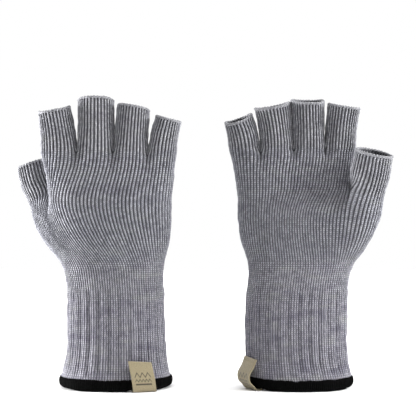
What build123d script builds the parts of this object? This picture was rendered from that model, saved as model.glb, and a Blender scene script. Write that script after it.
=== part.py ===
from build123d import *
from dataclasses import dataclass
import math
import os

# A pair of fingerless knitted gloves in their worn, opened-out shape, standing on their
# hems. Millimetres, +Z up towards the fingers, origin on the floor midway between the
# gloves. Both gloves are the right-hand one: glove_2 turns its palm to -Y and its thumb
# to +X, and glove_1 is turned half round, so that its back faces -Y.
#
# Each glove is drawn in its own frame: x towards the thumb, y towards the back of the
# hand, z up. A fabric tube is given by the rounded cross-sections that it runs through.

# Where the gloves stand: their wrists' middles, set so that the pair is centred
glove_1_x = -59.322
glove_2_x = 73.278
gloves_y = 0.055

# Fabric
wall = 1.6  # thickness of the knitted fabric
gap = 0.5  # clearance between pieces that move against each other
seam = 0.05  # clearance between neighbours in the same or a soft joint
roundness = 0.94  # 1 would make every cross-section's ends full half circles

# Heights shared by both gloves
hem_height = 8.5
cuff_top = 64.0
hand_bottom = 90.0

# Hem: overlock thread wrapped round the fabric's lower edge
hem_wrap = 0.9  # thread's thickness on each face of the fabric
hem_turn = 1.6  # thread's thickness under the fabric's edge

# Covered elastic yarns laid inside the cuff
elastic_width = 0.5
elastic_height = 0.6
elastic_count = 7
elastic_first = 14.0
elastic_pitch = 8.0
elastic_air = 0.3  # clearance to the fabric, which leans inwards above the hem

# Welts: the cast-off edge of each finger opening
welt_height = 2.0
welt_wrap = 0.35  # how much thicker than the fabric on each face

# Finger tubes
stall_base_depth = 25.0
stall_top_depth = 22.5
back_swing = 5.0  # degrees that a finger tube can bend backwards
knuckle_slope = back_swing + 0.5  # slope of each finger tube's lower edge, degrees

# Thumb
thumb_base_depth = 25.0
thumb_top_depth = 22.5
thumb_base_y = -24.0
thumb_top_y = -28.5
thumb_twist = 14.0  # degrees that the thumb's cross-section turns towards the palm
gusset_foot_z = 92.0
gusset_foot_shift = 34.0  # how far the gusset's foot lies inwards of the thumb's base
gusset_foot_width = 26.0
gusset_foot_depth = 26.0
gusset_bulge_z = 113.0
gusset_bulge_y = -14.0
gusset_bulge_depth = 28.0

# Label: a woven tab folded round the hem
label_width = 16.5
label_thickness = 0.6
label_back_height = 9.0  # height of the inner leaf
label_back_air = 2.4  # from the inside of the hem to the middle of the inner leaf
label_notch_depth = 13.6  # the dip in the hem, square to the label: well over the hem's thickness
label_air = 0.25  # clearance between the label and the hem
stitch_count = 5
stitch_length = 2.2
stitch_radius = 0.3


@dataclass
class Level:
    """A level cross-section of a glove: height, its two edges in x, and its depth in y."""

    z: float
    little_edge: float
    thumb_edge: float
    depth: float


@dataclass
class Finger:
    """A finger tube: its edges in x at the base, then at the opening with their heights."""

    name: str
    base_edges: tuple
    top_edges: tuple
    top_heights: tuple


@dataclass
class Thumb:
    """The thumb tube and its gusset, by their middles (x, z) and widths."""

    base: tuple
    base_width: float
    top: tuple
    top_width: float
    bulge_x: float
    bulge_width: float


@dataclass
class Tab:
    """The label: its angle from the back of the hand towards the little finger, and its route."""

    angle: float
    front_leaf: list
    stitch_at: tuple


@dataclass
class Glove:
    """Everything that differs from one glove to the other."""

    name: str
    frame: Plane
    knuckle_z: float
    cuff: list
    hand: list
    fingers: list
    thumb: Thumb
    tab: Tab


@dataclass
class Section:
    """A rounded rectangular cross-section of a fabric tube."""

    plane: Plane
    width: float
    depth: float


glove_1 = Glove(
    name="glove_1",
    frame=Plane(origin=(glove_1_x, gloves_y, 0), x_dir=(-1, 0, 0), z_dir=(0, 0, 1)),
    knuckle_z=169.3,
    cuff=[
        Level(hem_height, -40.0, 39.8, 53),
        Level(18, -36.8, 36.7, 49),
        Level(34, -35.3, 34.6, 47),
        Level(cuff_top, -34.6, 34.5, 45),
    ],
    hand=[
        Level(hand_bottom, -34.4, 38.4, 43),
        Level(112, -38.2, 43.6, 41),
        Level(135, -39.7, 47.6, 36),
        Level(153, -41.5, 50.8, 31),
        Level(168.8, -43.3, 53.2, 27),
    ],
    fingers=[
        Finger("index", (27.7, 53.2), (33.1, 56.1), (202.8, 199.2)),
        Finger("middle", (1.7, 27.2), (1.7, 27.2), (207.0, 207.0)),
        Finger("ring", (-22.7, 1.2), (-22.7, -1.0), (198.8, 201.8)),
        Finger("little", (-43.3, -23.2), (-46.9, -28.5), (191.6, 195.8)),
    ],
    thumb=Thumb(
        base=(54.4, 135.6),
        base_width=26.0,
        top=(63.6, 161.8),
        top_width=25.5,
        bulge_x=44.0,
        bulge_width=30.0,
    ),
    tab=Tab(
        angle=14.9,
        front_leaf=[(0.6, 3.5), (1.7, 9.5), (0.2, 16.0), (-2.8, 22.0)],
        stitch_at=(-0.7, 19.4),
    ),
)

glove_2 = Glove(
    name="glove_2",
    frame=Plane(origin=(glove_2_x, gloves_y, 0), x_dir=(1, 0, 0), z_dir=(0, 0, 1)),
    knuckle_z=171.3,
    cuff=[
        Level(hem_height, -38.2, 37.4, 53),
        Level(18, -38.4, 33.9, 49),
        Level(34, -39.2, 33.1, 47),
        Level(cuff_top, -38.8, 33.1, 45),
    ],
    hand=[
        Level(hand_bottom, -37.9, 35.4, 43),
        Level(112, -41.6, 36.6, 41),
        Level(135, -44.7, 36.2, 36),
        Level(153, -46.9, 37.4, 31),
        Level(170.8, -50.8, 39.2, 27),
    ],
    fingers=[
        Finger("index", (17.7, 39.2), (20.1, 43.1), (203.2, 199.6)),
        Finger("middle", (-4.7, 17.2), (-4.7, 17.2), (207.0, 206.6)),
        Finger("ring", (-29.4, -5.2), (-29.4, -7.3), (199.2, 203.6)),
        Finger("little", (-50.8, -29.9), (-54.1, -34.6), (190.0, 195.2)),
    ],
    thumb=Thumb(
        base=(43.4, 142.1),
        base_width=28.0,
        top=(48.5, 165.5),
        top_width=27.0,
        bulge_x=35.5,
        bulge_width=31.0,
    ),
    tab=Tab(
        angle=118.0,
        front_leaf=[(1.0, 3.0), (5.4, 6.5), (5.6, 12.5), (2.6, 17.5), (0.3, 23.0)],
        stitch_at=(1.93, 21.0),
    ),
)


def corner_of(width, depth):
    """The corner radius of a cross-section."""
    return roundness * min(width, depth) / 2


def placed(glove, plane):
    """A plane given in the glove's own frame, in the shared frame."""
    return Plane(glove.frame.location * plane.location)


def level_section(glove, level):
    """The cross-section at a level, in the shared frame."""
    middle = (level.little_edge + level.thumb_edge) / 2
    plane = placed(glove, Plane(origin=(middle, 0, level.z)))
    return Section(plane, level.thumb_edge - level.little_edge, level.depth)


def level_between(levels, z):
    """The level at a height, in proportion between its neighbours."""
    for low, high in zip(levels, levels[1:]):
        if low.z <= z <= high.z:
            share = (z - low.z) / (high.z - low.z)
            little_edge = low.little_edge + share * (high.little_edge - low.little_edge)
            thumb_edge = low.thumb_edge + share * (high.thumb_edge - low.thumb_edge)
            depth = low.depth + share * (high.depth - low.depth)
            return Level(z, little_edge, thumb_edge, depth)
    raise ValueError("height outside the levels")


def sketch_outline(section, growth):
    """Draw a cross-section's outline, grown or shrunk all round."""
    width = section.width + 2 * growth
    depth = section.depth + 2 * growth
    RectangleRounded(width, depth, corner_of(section.width, section.depth) + growth)


def fabric_tube(sections):
    """A tube of fabric through the given sections, open at both ends."""
    with BuildPart() as tube:
        for section in sections:
            with BuildSketch(section.plane):
                sketch_outline(section, 0)
        loft(ruled=True)
        for section in sections:
            with BuildSketch(section.plane):
                sketch_outline(section, -wall)
        loft(ruled=True, mode=Mode.SUBTRACT)
    return tube


def sketch_inner_cut(section):
    """Take the inside of the tube out of a sketched cross-section."""
    width = section.width - 2 * wall
    depth = section.depth - 2 * wall
    corner = corner_of(section.width, section.depth) - wall
    RectangleRounded(width, depth, corner, mode=Mode.SUBTRACT)


def make_cuff(glove):
    """Rib-knit tube over the wrist, with its lower edge tucked into the hem."""
    sections = [level_section(glove, level) for level in glove.cuff]
    with BuildPart() as cuff:
        add(fabric_tube(sections).part)
        with BuildSketch(sections[0].plane):
            sketch_outline(sections[0], 0)
            sketch_inner_cut(sections[0])
        extrude(amount=hem_turn - hem_height)
    return cuff


def make_hem(glove):
    """Black overlocked edge, wrapped round the cuff's fabric, with a dip for the label."""
    section = level_section(glove, glove.cuff[0])
    low_plane = section.plane.offset(-hem_height)
    with BuildPart() as hem:
        with BuildSketch(low_plane):
            sketch_outline(section, hem_wrap)
        extrude(amount=hem_height)
        with BuildSketch(low_plane):
            sketch_outline(section, -wall - hem_wrap)
        extrude(amount=hem_height, mode=Mode.SUBTRACT)
        with BuildSketch(low_plane.offset(hem_turn)):
            sketch_outline(section, 0)
            sketch_inner_cut(section)
        extrude(amount=hem_height, mode=Mode.SUBTRACT)
        with BuildSketch(label_plane(glove)):
            Rectangle(label_notch_depth, 2 * (label_thickness + 2 * label_air))
        extrude(amount=label_width / 2 + label_air, both=True, mode=Mode.SUBTRACT)
    return hem


def make_cuff_elastic(glove):
    """Covered rubber yarns, one ring every few courses, against the cuff's inner face."""
    with BuildPart() as elastic:
        for index in range(elastic_count):
            level = level_between(glove.cuff, elastic_first + index * elastic_pitch)
            section = level_section(glove, level)
            outer = -wall - elastic_air
            with BuildSketch(section.plane):
                sketch_outline(section, outer)
                width = section.width + 2 * (outer - elastic_width)
                depth = section.depth + 2 * (outer - elastic_width)
                corner = corner_of(section.width, section.depth) + outer - elastic_width
                RectangleRounded(width, depth, corner, mode=Mode.SUBTRACT)
            extrude(amount=elastic_height)
    return elastic


def make_wrist_band(glove):
    """Soft transition knit between the cuff and the hand, where the glove bends."""
    low = level_section(glove, glove.cuff[-1])
    high = level_section(glove, glove.hand[0])
    low.plane = low.plane.offset(seam)
    high.plane = high.plane.offset(-seam)
    return fabric_tube([low, high])


def thumb_plane(glove, x, y, z):
    """A plane square to the thumb through the given middle, in the shared frame."""
    thumb = glove.thumb
    run = (thumb.top[0] - thumb.base[0], thumb_top_y - thumb_base_y, thumb.top[1] - thumb.base[1])
    along = Vector(*run).normalized()
    twist = math.radians(thumb_twist)
    across = Vector(math.cos(twist), math.sin(twist), 0)
    across = (across - along * across.dot(along)).normalized()
    return placed(glove, Plane(origin=(x, y, z), x_dir=across, z_dir=along))


def thumb_base(glove):
    """The cross-section where the thumb tube leaves the gusset."""
    plane = thumb_plane(glove, glove.thumb.base[0], thumb_base_y, glove.thumb.base[1])
    return Section(plane, glove.thumb.base_width, thumb_base_depth)


def make_palm(glove):
    """The hand tube with the gusset for the base of the thumb."""
    sections = [level_section(glove, level) for level in glove.hand]
    thumb = glove.thumb
    foot_plane = placed(glove, Plane(origin=(thumb.base[0] - gusset_foot_shift, 0, gusset_foot_z)))
    bulge_plane = placed(glove, Plane(origin=(thumb.bulge_x, gusset_bulge_y, gusset_bulge_z)))
    gusset = [
        Section(foot_plane, gusset_foot_width, gusset_foot_depth),
        Section(bulge_plane, thumb.bulge_width, gusset_bulge_depth),
        thumb_base(glove),
    ]
    gusset[-1].plane = gusset[-1].plane.offset(-gap)
    with BuildPart() as palm:
        for tube, growth, mode in (
            (sections, 0, Mode.ADD),
            (gusset, 0, Mode.ADD),
            (sections, -wall, Mode.SUBTRACT),
            (gusset, -wall, Mode.SUBTRACT),
        ):
            for section in tube:
                with BuildSketch(section.plane):
                    sketch_outline(section, growth)
            loft(ruled=True, mode=mode)
    return palm


def finger_sections(glove, finger):
    """A finger tube's cross-sections at the knuckles and just below its welt."""
    slope = math.radians(knuckle_slope)
    base_x = sum(finger.base_edges) / 2
    base_width = finger.base_edges[1] - finger.base_edges[0]
    base_z = glove.knuckle_z + math.tan(slope) * stall_base_depth / 2
    base_plane = Plane(
        origin=(base_x, 0, base_z), x_dir=(1, 0, 0), z_dir=(0, -math.sin(slope), math.cos(slope))
    )
    top_x = sum(finger.top_edges) / 2
    top_z = sum(finger.top_heights) / 2
    rise = finger.top_heights[1] - finger.top_heights[0]
    run = finger.top_edges[1] - finger.top_edges[0]
    top_width = math.hypot(run, rise)
    tilt = math.atan2(rise, run)
    top_plane = Plane(
        origin=(top_x, 0, top_z),
        x_dir=(math.cos(tilt), 0, math.sin(tilt)),
        z_dir=(-math.sin(tilt), 0, math.cos(tilt)),
    )
    top_plane = top_plane.offset(-welt_height)
    return [
        Section(placed(glove, base_plane), base_width, stall_base_depth),
        Section(placed(glove, top_plane), top_width, stall_top_depth),
    ]


def thumb_sections(glove):
    """The thumb tube's cross-sections at the gusset and just below its welt."""
    top_plane = thumb_plane(glove, glove.thumb.top[0], thumb_top_y, glove.thumb.top[1])
    top = Section(top_plane.offset(-welt_height), glove.thumb.top_width, thumb_top_depth)
    return [thumb_base(glove), top]


def make_welt(section):
    """The thicker cast-off edge on top of a finger tube."""
    with BuildPart() as welt:
        with BuildSketch(section.plane):
            sketch_outline(section, welt_wrap)
        extrude(amount=welt_height)
        with BuildSketch(section.plane):
            sketch_outline(section, -wall - welt_wrap)
        extrude(amount=welt_height, mode=Mode.SUBTRACT)
    return welt


def label_plane(glove):
    """The upright plane through the label's middle: x outwards, y up, from the hem's foot."""
    hem = glove.cuff[0]
    width = hem.thumb_edge - hem.little_edge
    corner = corner_of(width, hem.depth)
    angle = math.radians(glove.tab.angle)
    outward = Vector(-math.sin(angle), math.cos(angle), 0)
    centre = Vector(hem.little_edge + corner, math.copysign(hem.depth / 2 - corner, outward.Y), 0)
    origin = centre + outward * (corner + hem_wrap)
    across = outward.cross(Vector(0, 0, 1))
    return placed(glove, Plane(origin=origin, x_dir=outward, z_dir=across))


def make_label(glove):
    """Woven tab: an outer leaf down the cuff, a fold under the hem and a short inner leaf."""
    fold_z = label_air + label_thickness / 2
    outer_x = label_air + label_thickness / 2
    inner_x = -(wall + 2 * hem_wrap) - label_back_air
    route = [(inner_x, label_back_height), (inner_x, fold_z), (outer_x, fold_z)]
    route = route + glove.tab.front_leaf
    with BuildPart() as label:
        with BuildSketch(label_plane(glove)):
            with BuildLine():
                Polyline(*route)
            trace(line_width=label_thickness)
        extrude(amount=label_width / 2, both=True)
    return label


def make_label_stitching(glove):
    """A row of short stitches across the label's upper end."""
    pitch = label_width / stitch_count
    with BuildPart() as stitching:
        for index in range(stitch_count):
            middle = (index - (stitch_count - 1) / 2) * pitch
            with BuildSketch(label_plane(glove).offset(middle - stitch_length / 2)):
                with Locations(glove.tab.stitch_at):
                    Circle(stitch_radius)
            extrude(amount=stitch_length)
    return stitching


def save(piece, glove, name):
    """Name a finished piece and write it out."""
    piece.part.label = f"{glove.name}_{name}"
    export_step(piece.part, f"parts/{piece.part.label}.step")


def make_glove(glove):
    """Every piece of one glove."""
    save(make_cuff(glove), glove, "cuff")
    save(make_hem(glove), glove, "hem")
    save(make_cuff_elastic(glove), glove, "cuff_elastic")
    save(make_wrist_band(glove), glove, "wrist_band")
    save(make_palm(glove), glove, "palm")
    for finger in glove.fingers:
        sections = finger_sections(glove, finger)
        save(fabric_tube(sections), glove, f"{finger.name}_stall")
        save(make_welt(sections[-1]), glove, f"{finger.name}_welt")
    sections = thumb_sections(glove)
    save(fabric_tube(sections), glove, "thumb_stall")
    save(make_welt(sections[-1]), glove, "thumb_welt")
    save(make_label(glove), glove, "label")
    save(make_label_stitching(glove), glove, "label_stitching")


os.makedirs("parts", exist_ok=True)
for glove in (glove_1, glove_2):
    make_glove(glove)
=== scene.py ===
import math

import bpy
import numpy as np
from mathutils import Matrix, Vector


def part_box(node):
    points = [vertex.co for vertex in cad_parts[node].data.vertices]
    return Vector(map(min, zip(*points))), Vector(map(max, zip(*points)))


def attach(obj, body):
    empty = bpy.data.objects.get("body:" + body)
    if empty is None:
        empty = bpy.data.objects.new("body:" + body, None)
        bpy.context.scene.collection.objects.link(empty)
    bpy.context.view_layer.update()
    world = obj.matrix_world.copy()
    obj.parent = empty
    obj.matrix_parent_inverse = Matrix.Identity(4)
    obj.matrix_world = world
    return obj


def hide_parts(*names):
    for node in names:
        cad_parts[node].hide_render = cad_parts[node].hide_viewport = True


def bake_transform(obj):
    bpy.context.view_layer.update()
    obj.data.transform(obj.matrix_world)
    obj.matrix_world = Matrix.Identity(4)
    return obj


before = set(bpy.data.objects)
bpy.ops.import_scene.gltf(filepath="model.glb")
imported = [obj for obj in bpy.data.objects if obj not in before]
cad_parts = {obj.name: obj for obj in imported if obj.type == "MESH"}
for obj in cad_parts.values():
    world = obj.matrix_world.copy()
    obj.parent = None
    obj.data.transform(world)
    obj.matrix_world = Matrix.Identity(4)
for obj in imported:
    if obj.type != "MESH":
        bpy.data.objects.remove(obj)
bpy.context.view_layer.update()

# Each glove is drawn in millimetres in its own frame: x towards the thumb, y towards the
# back of the hand, z up from the floor. The fabric is one cage of columns (along the wales)
# and rows, smoothed by subdivision, so that the ribs of the knit run up the hand and into
# each finger. The cage is then cut into pieces; the cuff and the palm ride on their CAD bodies.

MM = 0.001

# The cage's columns: two wales each
WALES_PER_COLUMN = 2
COLUMNS = {"little": 4, "ring": 5, "middle": 5, "index": 5, "thumb": 5}
SIDE = 3  # columns round the edge of the hand or of a finger
HAND_FRONT = 19  # columns across the four fingers
WRIST_FRONT = 24  # the same with the thumb's
COURSE = 1.4  # height of one course of stitches, mm

# Fabric
THICKNESS = 1.35
DEEPEST = 1.1  # how far a valley may lie below the fabric's middle, mm
CUFF_TOP = 64.0
HAND_BOTTOM = 90.0
HEM_HEIGHT = 8.5

# Heights, widths and places in millimetres. A level is (z, edge towards the little finger, edge
# towards the thumb, depth). A finger is its base's edges, its top's edges and its top's heights
# at them. A lift is how far an opening's middle stands above its ends, on the palm and the back.
GLOVES = {
    "glove_1": {
        "turn": -1,
        "levels": [
            (7.0, -40.0, 39.8, 53.2), (11.5, -38.2, 37.8, 51.6), (18.5, -36.0, 35.6, 48.4),
            (29, -35.2, 34.5, 47.2), (41, -34.8, 34.2, 46.4), (53, -34.4, 34.2, 45.6),
            (CUFF_TOP, -34.2, 34.3, 45), (73, -34.0, 35.0, 44.4), (81.5, -34.0, 36.8, 43.8),
            (HAND_BOTTOM, -34.6, 38.6, 43), (112, -38.2, 43.6, 41), (135, -39.9, 47.8, 36),
            (144, -40.7, 49.0, 33.6), (156.5, -42.0, 51.2, 30.2), (168.8, -43.6, 53.6, 27.4),
        ],
        "knuckle": 169.3,
        "hand_top": 135.0,
        "flare": 1.85,
        "splits": (-23.0, 1.45, 27.45),
        "crotches": (163.6, 167.4, 167.0),
        "fingers": {
            "index": ((27.6, 53.4), (32.9, 56.1), (202.3, 198.0)),
            "middle": ((1.6, 27.3), (1.6, 27.4), (205.4, 205.4)),
            "ring": ((-22.8, 1.3), (-24.3, -1.4), (198.6, 202.6)),
            "little": ((-43.6, -23.2), (-46.9, -28.7), (190.6, 195.2)),
        },
        "lifts": {
            "index": (-1.0, -2.2), "middle": (-1.0, 2.4), "ring": (-1.0, 0.9), "little": (-1.5, -0.9),
            "thumb": (1.6, -2.4),
        },
        "label": {
            "turn": 14.9,
            "leaf": [(0.85, 3.2), (1.55, 9.0), (0.5, 15.0), (-1.6, 21.2)],
            "slide": (-0.7, 2.7),
        },
        "thumb_base": (52.6, -21.0, 135.0),
        "thumb_top": (63.6, -28.0, 161.8),
        "thumb_widths": (26.0, 25.5),
        "thumb_shift": 12.0,
        "shift_reach": (9.0, 16.0),
    },
    "glove_2": {
        "turn": 1,
        "levels": [
            (7.0, -38.2, 37.4, 53.2), (11.5, -38.2, 36.0, 51.8), (18.5, -38.2, 33.6, 48.6),
            (29, -38.8, 33.0, 47.3), (41, -39.3, 33.1, 46.6), (53, -39.1, 33.0, 45.6),
            (CUFF_TOP, -38.4, 33.1, 45), (73, -37.6, 34.2, 44.4), (81.5, -37.0, 35.8, 43.8),
            (HAND_BOTTOM, -37.0, 38.6, 43), (112, -40.0, 38.2, 41), (135, -43.8, 36.4, 36),
            (146, -45.9, 36.8, 33.2), (158.5, -47.6, 37.8, 30.0), (170.8, -51.0, 39.5, 27.4),
        ],
        "knuckle": 171.3,
        "hand_top": 141.0,
        "flare": 2.3,
        "splits": (-28.2, -5.0, 17.5),
        "crotches": (166.1, 168.0, 170.4),
        "fingers": {
            "index": ((17.6, 39.4), (20.1, 43.1), (203.8, 200.2)),
            "middle": ((-4.8, 17.3), (-6.4, 17.4), (206.6, 206.2)),
            "ring": ((-27.9, -5.1), (-33.0, -7.3), (200.4, 205.0)),
            "little": ((-51.0, -28.5), (-54.1, -34.6), (190.4, 197.0)),
        },
        "lifts": {
            "index": (-1.5, 0.0), "middle": (-3.4, 0.3), "ring": (-3.0, -0.4), "little": (-4.2, -0.5),
            "thumb": (0.6, 0.2),
        },
        "label": {
            "turn": 118.0,
            "leaf": [(1.6, 3.0), (5.2, 6.6), (5.6, 12.0), (3.0, 17.0), (0.6, 22.6)],
            "slide": (0.6, -0.6),
        },
        "thumb_base": (43.6, -21.0, 141.0),
        "thumb_top": (49.2, -28.0, 166.6),
        "thumb_widths": (28.0, 27.0),
        "thumb_shift": 3.0,
        "shift_reach": (14.0, 14.0),
    },
}

FINGER_DEPTHS = (25.4, 22.6)  # at the base and at the opening
THUMB_DEPTHS = (25.0, 22.6)
THUMB_TWIST = 14.0  # degrees that the thumb's cross-section turns
STALL_ROWS = 3  # the cage's rows in a finger tube
CROTCH_DRAWN_IN = 0.62  # depth left at the crotches, as a share
CROTCH_SINK = 2.6  # how far the crotches' ends lie below their height
CROTCH_MIDDLE = 0.6  # and their middles
OUTER_LEVELS = 4  # subdivision of the fabric's outer face
INNER_LEVELS = 2

ELASTIC_COUNT = 7
ELASTIC_FIRST = 14.0  # height of the lowest yarn
ELASTIC_PITCH = 8.0
ELASTIC_RADIUS = 0.27
ELASTIC_AIR = 0.85  # from the fabric's inside to the middle of an elastic yarn
LABEL_WIDTH = 16.5
LABEL_ROWS, LABEL_COLUMNS = 61, 25  # points along and across
LABEL_STITCHES = 9
MOTIF_EDGE = 2.6  # from the label's side to its woven motif
RECESS_YARN_AND_SHADE = (0.022, 0.022, 0.027)  # dark colour painted into the grooves between the wales and the gaps between stitches: partly the dark yarn deep in the rib, partly painted shade
FLUFF = (0.8, 0.8, 0.85)  # tint of the knit's sheen
SKY_LIGHT = 0.22  # the room's strength as a light
SKY_SEEN = 1.0  # and as what is seen past the floor's edge
HEM_OUTLINES = {-1: (-40.0, 39.8, 53.0), 1: (-38.2, 37.4, 53.0)}  # edges and depth, by turn

PIECES = ["cuff", "wrist", "palm", "index", "middle", "ring", "little", "thumb"]


# ---- small mathematics


def smooth(value, low, high):
    """0 below low, 1 above high and a smooth ramp between."""
    t = np.clip((value - low) / (high - low), 0, 1)
    return t * t * (3 - 2 * t)


def waves(points, wavelength, seed):
    """Smooth noise from -1 to 1 at points in millimetres, as a sum of plane waves."""
    random = np.random.default_rng(seed)
    total = np.zeros(len(points))
    for _ in range(9):
        direction = random.normal(size=3)
        direction /= np.linalg.norm(direction)
        length = wavelength * random.uniform(0.6, 1.6)
        phase = random.uniform(0, 2 * math.pi)
        total += np.sin(points @ direction * (2 * math.pi / length) + phase)
    return total / 4


def ring_outline(half_width, half_depth, samples=720):
    """Points of a rounded outline and their distance along it, from the little-finger end."""
    power = 2.0 + 0.55 * (half_width / half_depth - 1)
    angle = np.linspace(math.pi, 3 * math.pi, samples)
    cosine = np.cos(angle)
    sine = np.sin(angle)
    x = half_width * np.sign(cosine) * np.abs(cosine) ** (2 / power)
    y = half_depth * np.sign(sine) * np.abs(sine) ** (2 / power)
    steps = np.hypot(np.diff(x), np.diff(y))
    return x, y, np.concatenate([[0], np.cumsum(steps)])


def ring_points(half_width, half_depth, front, shift=0.0, reach=(8.0, 8.0)):
    """The cage's points round one outline: front columns, a side, back columns, a side."""
    x, y, along = ring_outline(half_width, half_depth)
    count = 2 * front + 2 * SIDE
    pitch = along[-1] / count
    index = np.arange(count)
    place = (SIDE / 2 + index) * pitch
    centre = front + SIDE / 2
    spread = np.where(index < centre, reach[0], reach[1])
    place = place - shift * np.exp(-(((index - centre) / spread) ** 2))
    place = np.mod(place, along[-1])
    return np.interp(place, along, x), np.interp(place, along, y)


def level_at(levels, z):
    """Edges and depth of a glove at a height, in proportion between its levels."""
    heights = [level[0] for level in levels]
    return [float(np.interp(z, heights, [level[k] for level in levels])) for k in (1, 2, 3)]


def hand_ring(levels, z, front, shift=0.0, reach=(8.0, 8.0)):
    """The cage's points round the hand at a height."""
    little, thumb, depth = level_at(levels, z)
    x, y = ring_points((thumb - little) / 2, depth / 2, front, shift, reach)
    return np.column_stack([x + (thumb + little) / 2, y, np.full(len(x), float(z))])


# ---- the cage


class Cage:
    """Quads in rows and columns, with knit coordinates: wales across and courses up."""

    def __init__(self):
        self.points = []
        self.faces = []
        self.knit = []
        self.piece = []

    def add(self, points):
        """Add points and return their numbers."""
        first = len(self.points)
        self.points.extend([tuple(float(c) for c in p) for p in points])
        return list(range(first, first + len(points)))

    def bridge(self, low, high, wales, courses, piece):
        """Join two closed rows of points, column by column."""
        low_course, high_course = courses
        for k in range(len(low)):
            n = (k + 1) % len(low)
            self.faces.append((low[k], low[n], high[n], high[k]))
            left = wales[k]
            right = left + WALES_PER_COLUMN
            self.knit.append(
                [(left, low_course), (right, low_course), (right, high_course), (left, high_course)]
            )
            self.piece.append(PIECES.index(piece))


def edge_lift(y, depth, lifts):
    """How far an opening's edge stands above its two ends, on the palm side and on the back."""
    side = np.where(y < 0, lifts[0], lifts[1])
    return side * (1 - (1 - np.clip(2 * np.abs(y) / depth, 0, 1)) ** 1.6)


def finger_ring(spec, name, share):
    """The cage's points round a finger, part of the way up from its base to its opening."""
    base, top, heights = spec["fingers"][name]
    ease = share ** 1.5
    left = base[0] + ease * (top[0] - base[0])
    right = base[1] + ease * (top[1] - base[1])
    depth = FINGER_DEPTHS[0] + share * (FINGER_DEPTHS[1] - FINGER_DEPTHS[0])
    x, y = ring_points((right - left) / 2, depth / 2, COLUMNS[name])
    slope = share * (heights[1] - heights[0]) / (top[1] - top[0])
    lift = share ** 2 * edge_lift(y, depth, spec["lifts"][name])
    z = spec["knuckle"] + share * (sum(heights) / 2 - spec["knuckle"])
    return np.column_stack([x + (left + right) / 2, y, z + slope * x + lift])


def thumb_frame(spec):
    """The thumb's direction and the two directions square to it."""
    along = np.subtract(spec["thumb_top"], spec["thumb_base"])
    length = float(np.linalg.norm(along))
    along = along / length
    twist = math.radians(THUMB_TWIST)
    across = np.array([math.cos(twist), math.sin(twist), 0.0])
    across = across - along * across.dot(along)
    across /= np.linalg.norm(across)
    return along, across, np.cross(along, across), length


def thumb_ring(spec, share):
    """The cage's points round the thumb, part of the way up from the gusset to the opening."""
    along, across, back, length = thumb_frame(spec)
    centre = np.array(spec["thumb_base"]) + along * length * share
    centre[0] += (share ** 0.6 - share) * (spec["thumb_top"][0] - spec["thumb_base"][0])
    width = (1 - share) * spec["thumb_widths"][0] + share * spec["thumb_widths"][1]
    depth = (1 - share) * THUMB_DEPTHS[0] + share * THUMB_DEPTHS[1]
    x, y = ring_points(width / 2, depth / 2, COLUMNS["thumb"])
    lift = share ** 2 * edge_lift(y, depth, spec["lifts"]["thumb"])
    return centre + np.outer(x, across) + np.outer(y, back) + np.outer(lift, along)


def outside(points):
    """A loop of points with its hollows filled: each hollow's points go to the chord across it."""
    plane = points[:, :2]
    count = len(plane)
    order = np.lexsort((plane[:, 1], plane[:, 0]))
    hull = []
    for direction in (order, order[::-1]):
        chain = []
        for number in direction:
            while len(chain) > 1:
                one, two = plane[chain[-1]] - plane[chain[-2]], plane[number] - plane[chain[-2]]
                if one[0] * two[1] - one[1] * two[0] > 0:
                    break
                chain.pop()
            chain.append(number)
        hull += chain[:-1]
    corners = sorted(int(n) for n in hull)
    filled = points.copy()
    for low, high in zip(corners, corners[1:] + [corners[0] + count]):
        between = np.arange(low, high + 1) % count
        run = plane[between]
        along = np.concatenate([[0], np.cumsum(np.linalg.norm(np.diff(run, axis=0), axis=1))])
        share = along / along[-1]
        filled[between[1:-1], :2] = run[0] + np.outer(share[1:-1], run[-1] - run[0])
    return filled


def evened(points, reach, fixed):
    """Slide a loop's points along it until their spacing changes slowly. One stays in place."""
    points = np.roll(points, -fixed, axis=0)
    closed = np.vstack([points, points[:1]])
    steps = np.linalg.norm(np.diff(closed, axis=0), axis=1)
    along = np.concatenate([[0], np.cumsum(steps)])
    moves = np.arange(-3 * reach, 3 * reach + 1)
    shares = np.exp(-((moves / reach) ** 2))
    shares /= shares.sum()
    even = sum(share * np.roll(steps, move) for share, move in zip(shares, moves))
    place = np.concatenate([[0], np.cumsum(even)[:-1]])
    slid = np.column_stack([np.interp(place, along, closed[:, axis]) for axis in range(3)])
    return np.roll(slid, fixed, axis=0)


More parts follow.
